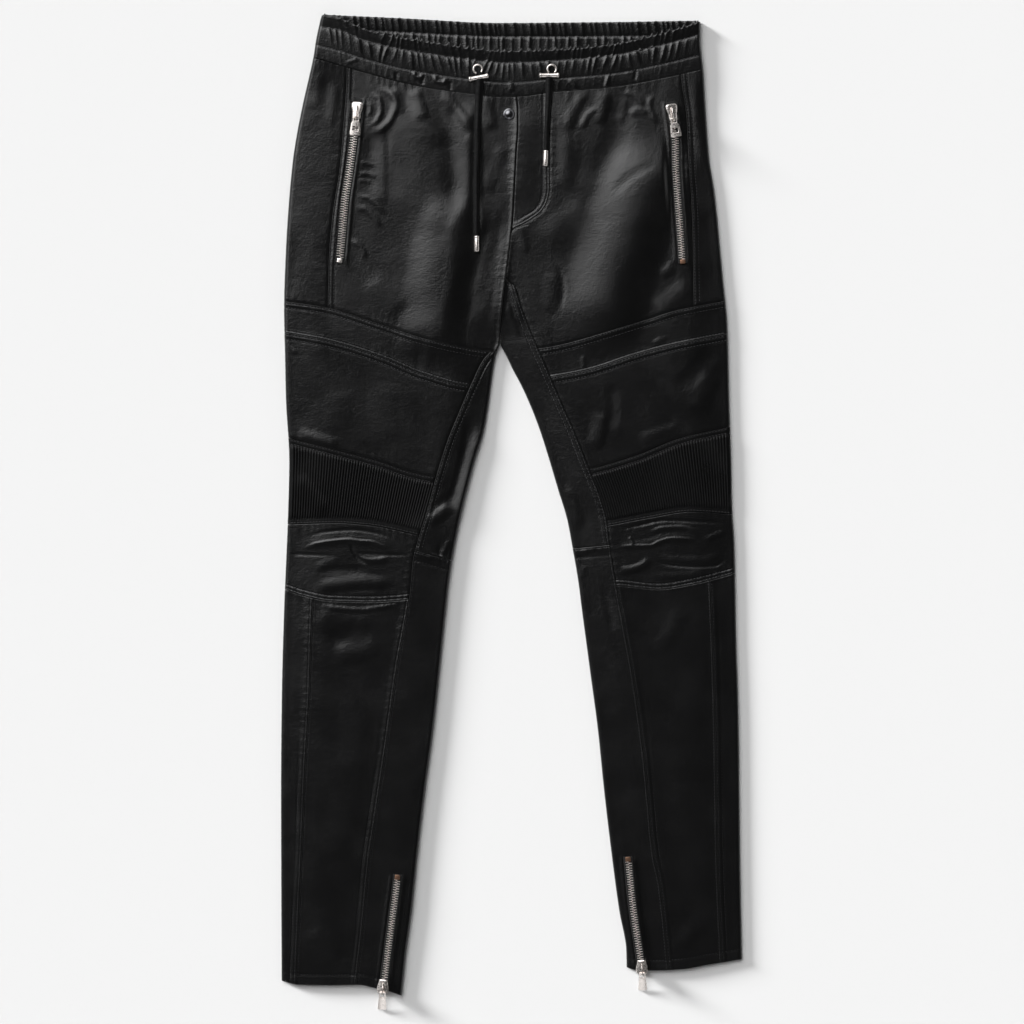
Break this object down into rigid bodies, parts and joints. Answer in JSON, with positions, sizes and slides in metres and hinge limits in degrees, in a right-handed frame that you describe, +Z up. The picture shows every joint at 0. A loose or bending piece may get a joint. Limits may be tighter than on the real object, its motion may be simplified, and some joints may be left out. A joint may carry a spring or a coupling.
{
  "type": "trousers",
  "caption": "Black leather biker jogger trousers laid flat, with gathered drawcord waist, J-stitched fly, ribbed and folded knees, and zips at the hips and ankles.",
  "frame": {"origin": "On the ground under the middle of the garment's bounding box.", "axes": "+Z up from the ground; +Y from the hems to the waist; +X to the right of someone who looks down on the front, which is the wearer's left side."},
  "size_m": [0.4884, 1.0541, 0.015],
  "materials": {
    "black_leather": "soft semi-matt nappa leather with a fine grain",
    "black_tape": "matt woven zip tape",
    "nickel": "polished nickel",
    "copper": "worn copper",
    "dark_snap": "polished gunmetal"
  },
  "bodies": {
    "trousers": {"hip_front_l": "black_leather", "hip_front_r": "black_leather", "hip_side_l": "black_leather", "hip_side_r": "black_leather", "thigh_band_l": "black_leather", "thigh_band_r": "black_leather", "thigh_panel_l": "black_leather", "thigh_panel_r": "black_leather", "knee_rib_l": "black_leather", "knee_rib_r": "black_leather", "knee_shirred_l": "black_leather", "knee_shirred_r": "black_leather", "shin_front_l": "black_leather", "shin_front_r": "black_leather", "shin_outer_l": "black_leather", "shin_outer_r": "black_leather", "inner_leg_upper_l": "black_leather", "inner_leg_upper_r": "black_leather", "inner_leg_lower_l": "black_leather", "inner_leg_lower_r": "black_leather", "back_leg_l": "black_leather", "back_leg_r": "black_leather", "fly_placket": "black_leather", "waistband_front": "black_leather", "waistband_back": "black_leather", "drawcord_l": "black_leather", "drawcord_r": "black_leather", "snap": "dark_snap", "toggle_ring_l": "nickel", "toggle_ring_r": "nickel", "toggle_bar_l": "nickel", "toggle_bar_r": "nickel", "aglet_l": "nickel", "aglet_r": "nickel", "zip_pocket_l_tape": "black_tape", "zip_pocket_l_chain": "nickel", "zip_pocket_l_slider": "nickel", "zip_pocket_l_stop": "nickel", "zip_pocket_r_tape": "black_tape", "zip_pocket_r_chain": "nickel", "zip_pocket_r_slider": "nickel", "zip_pocket_r_stop": "copper", "zip_ankle_l_tape": "black_tape", "zip_ankle_l_chain": "nickel", "zip_ankle_l_slider": "nickel", "zip_ankle_l_stop": "copper", "zip_ankle_r_tape": "black_tape", "zip_ankle_r_chain": "nickel", "zip_ankle_r_slider": "nickel", "zip_ankle_r_stop": "copper"},
    "pull_pocket_l": {"zip_pocket_l_tab": "nickel"},
    "pull_pocket_r": {"zip_pocket_r_tab": "nickel"},
    "pull_ankle_l": {"zip_ankle_l_tab": "nickel"},
    "pull_ankle_r": {"zip_ankle_r_tab": "nickel"}
  },
  "joints": [
    {"name": "pull_pocket_l_hinge", "type": "hinge", "parent": "trousers", "child": "pull_pocket_l", "pos_m": [-0.164, 0.417, 0.01278], "axis": [-0.9969, 0.0785, 0], "range_deg": [0, 130]},
    {"name": "pull_pocket_r_hinge", "type": "hinge", "parent": "trousers", "child": "pull_pocket_r", "pos_m": [0.171, 0.415, 0.01289], "axis": [-0.9877, -0.1564, 0], "range_deg": [0, 130]},
    {"name": "pull_ankle_l_hinge", "type": "hinge", "parent": "trousers", "child": "pull_ankle_l", "pos_m": [-0.1364, -0.508, 0.01098], "axis": [-0.9986, 0.0523, 0], "range_deg": [0, 150]},
    {"name": "pull_ankle_r_hinge", "type": "hinge", "parent": "trousers", "child": "pull_ankle_r", "pos_m": [0.138, -0.4875, 0.01088], "axis": [-0.9986, -0.0523, 0], "range_deg": [0, 150]}
  ]
}
